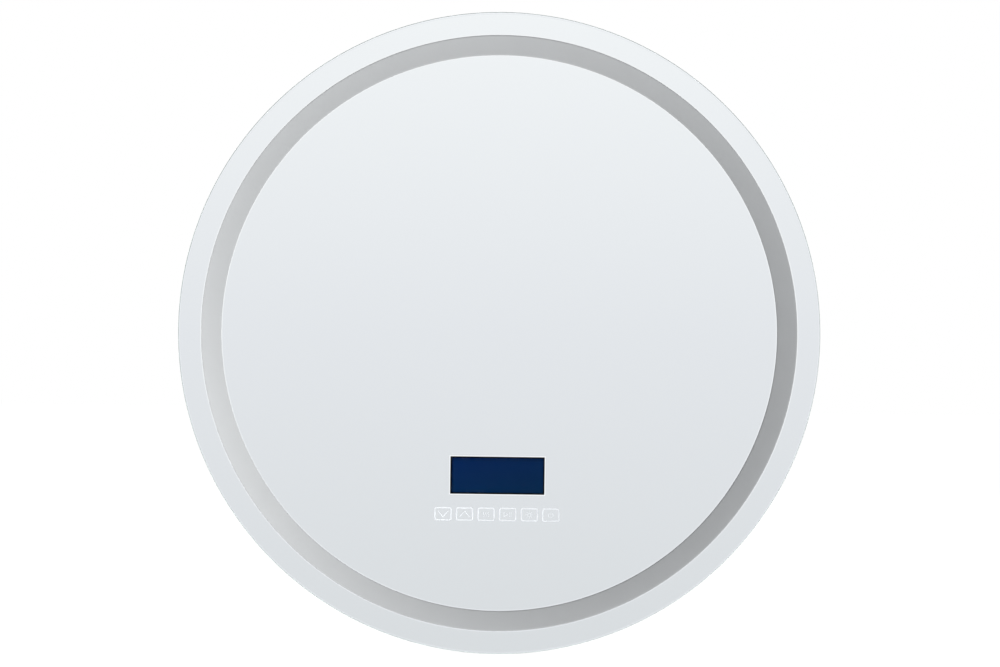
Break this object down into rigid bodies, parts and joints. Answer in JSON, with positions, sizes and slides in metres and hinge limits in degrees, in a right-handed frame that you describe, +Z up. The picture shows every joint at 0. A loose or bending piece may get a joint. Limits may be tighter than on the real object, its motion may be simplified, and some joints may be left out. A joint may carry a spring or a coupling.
{
  "type": "lighted bathroom mirror",
  "caption": "Round wall-hung bathroom mirror with a frosted light band, clock window, touch keys and keyhole hangers.",
  "frame": {"origin": "centre of the mirror on the wall plane, at the frame's rear edge", "axes": "+Z up, +Y into the wall, +X to the right as the mirror is looked at; the glass faces -Y"},
  "size_m": [0.5999, 0.035, 0.6],
  "materials": {
    "glass": "polished float glass",
    "silver": "silvered",
    "diffuser": "sandblasted, white film behind",
    "foam_tape": "closed-cell foam",
    "frame_aluminium": "satin anodised",
    "cover_paint": "white powder coat",
    "zinc_steel": "bright zinc plate",
    "pocket_plastic": "moulded",
    "black_nylon": "moulded",
    "terminal_plastic": "moulded",
    "brass": "turned",
    "driver_shell": "extruded",
    "driver_caps": "moulded",
    "strip_film": "white solder resist",
    "led_phosphor": "yellow phosphor in a white body",
    "bezel_black": "moulded",
    "lcd_navy": "unlit liquid crystal panel",
    "backlight_white": "moulded light box",
    "circuit_board": "green solder resist",
    "housing_black": "moulded",
    "guide_opal": "opal acrylic",
    "copper_foil": "copper foil",
    "control_grey": "moulded",
    "heater_film": "laminated heating film",
    "speaker_cloth": "woven mesh",
    "speaker_foam": "foam gasket",
    "speaker_steel": "black coated steel",
    "speaker_rubber": "rubber roll",
    "cone_paper": "pressed black paper",
    "coil_copper": "enamelled copper wire",
    "magnet_zinc": "zinc-plated iron",
    "lead_white": "PVC insulation",
    "ribbon_grey": "flat ribbon",
    "clip_nylon": "self-adhesive nylon"
  },
  "bodies": {
    "mirror": {"band_diffuser": "diffuser", "cable_gland": "black_nylon", "control_board": "circuit_board", "control_box": "control_grey", "control_lid": "control_grey", "cover_screws": "zinc_steel", "demister_pad": "heater_film", "demister_terminal": "housing_black", "display_backlight": "backlight_white", "display_bezel": "bezel_black", "display_board": "circuit_board", "display_housing": "housing_black", "display_ribbon": "ribbon_grey", "driver_cap_left": "driver_caps", "driver_cap_right": "driver_caps", "driver_case": "driver_shell", "earth_stud": "brass", "frame_ring": "frame_aluminium", "frame_splice": "frame_aluminium", "glass_tape_pads": "foam_tape", "hanger_plate_left": "zinc_steel", "hanger_plate_right": "zinc_steel", "hanger_pocket_left": "pocket_plastic", "hanger_pocket_right": "pocket_plastic", "key_light_guide": "guide_opal", "lcd_panel": "lcd_navy", "lead_clips": "clip_nylon", "lead_control": "lead_white", "lead_demister": "lead_white", "lead_led": "lead_white", "lead_mains": "lead_white", "lead_speaker_left": "lead_white", "lead_speaker_right": "lead_white", "led_chips": "led_phosphor", "led_strip": "strip_film", "mirror_glass": "glass", "rear_cover": "cover_paint", "silver_coat_centre": "silver", "silver_coat_rim": "silver", "silver_key_islands": "silver", "speaker_basket_left": "speaker_steel", "speaker_basket_right": "speaker_steel", "speaker_gasket_left": "speaker_foam", "speaker_gasket_right": "speaker_foam", "speaker_magnet_left": "magnet_zinc", "speaker_magnet_right": "magnet_zinc", "speaker_mesh_left": "speaker_cloth", "speaker_mesh_right": "speaker_cloth", "speaker_surround_left": "speaker_rubber", "speaker_surround_right": "speaker_rubber", "terminal_block": "terminal_plastic", "touch_board": "circuit_board", "touch_pads": "copper_foil", "touch_ribbon": "ribbon_grey"},
    "cone_left": {"speaker_cone_left": "cone_paper", "voice_coil_left": "coil_copper"},
    "cone_right": {"speaker_cone_right": "cone_paper", "voice_coil_right": "coil_copper"}
  },
  "joints": [
    {"name": "cone_left_travel", "type": "slide", "parent": "mirror", "child": "cone_left", "axis": [0, 1, 0], "range_m": [-0.0008, 0.0008], "stiffness_N_per_m": 1000},
    {"name": "cone_right_travel", "type": "slide", "parent": "mirror", "child": "cone_right", "axis": [0, 1, 0], "range_m": [-0.0008, 0.0008], "stiffness_N_per_m": 1000}
  ]
}
